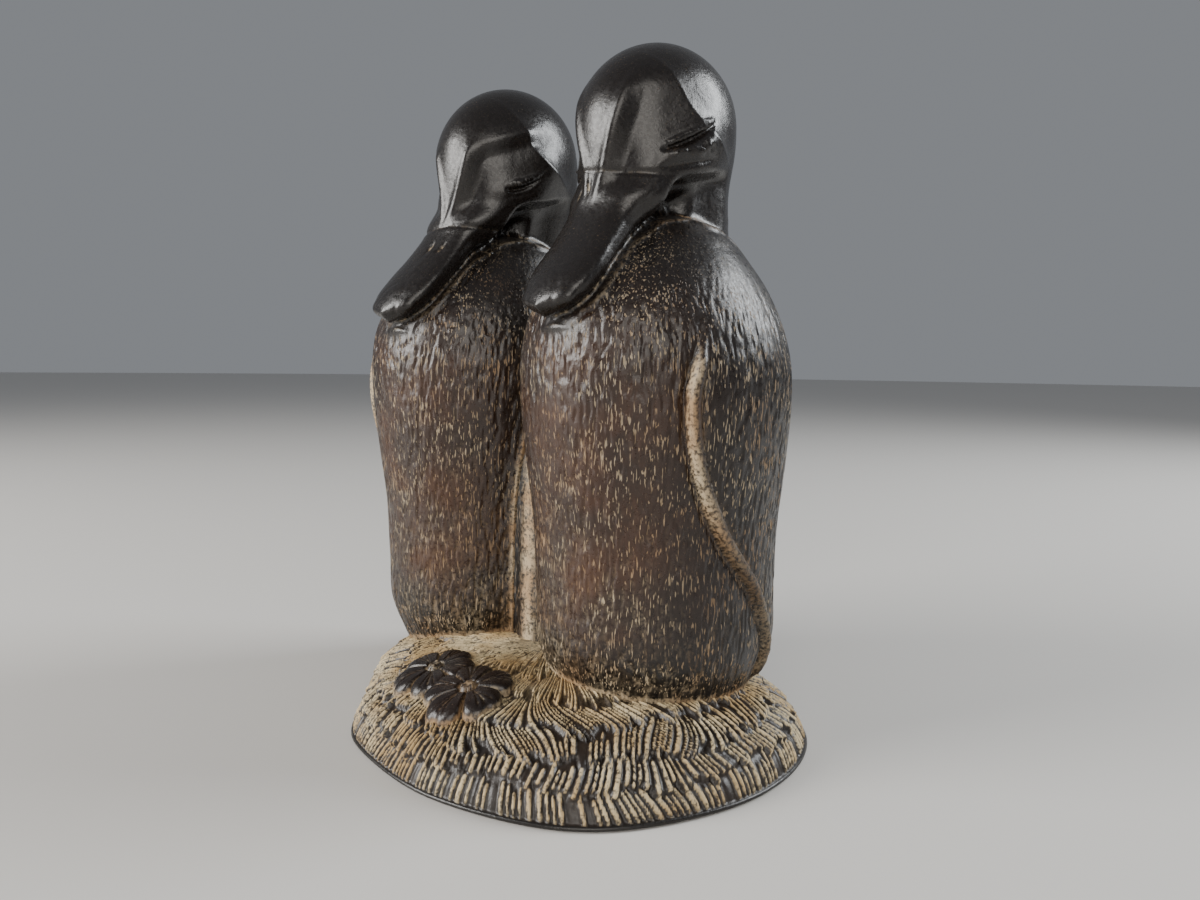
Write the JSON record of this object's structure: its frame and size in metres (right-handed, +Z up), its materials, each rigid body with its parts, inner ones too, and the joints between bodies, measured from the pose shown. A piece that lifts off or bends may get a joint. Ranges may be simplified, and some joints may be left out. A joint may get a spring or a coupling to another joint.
{
  "type": "bird carving",
  "caption": "Pair of resting ducks with bowed bills, carved side by side from one dark soapstone block, on a grassy mound with two open flowers.",
  "frame": {"origin": "middle of the bounding box in plan, on the underside", "axes": "+Z up, the ducks face -Y, the duck with the turned head is on the +X side"},
  "size_m": [0.1018, 0.0792, 0.1239],
  "materials": {
    "soapstone": "dark brown-black, polished on the heads and bills, chiselled on the mound"
  },
  "bodies": {
    "root": {"duck_pair": "soapstone"}
  },
  "joints": []
}
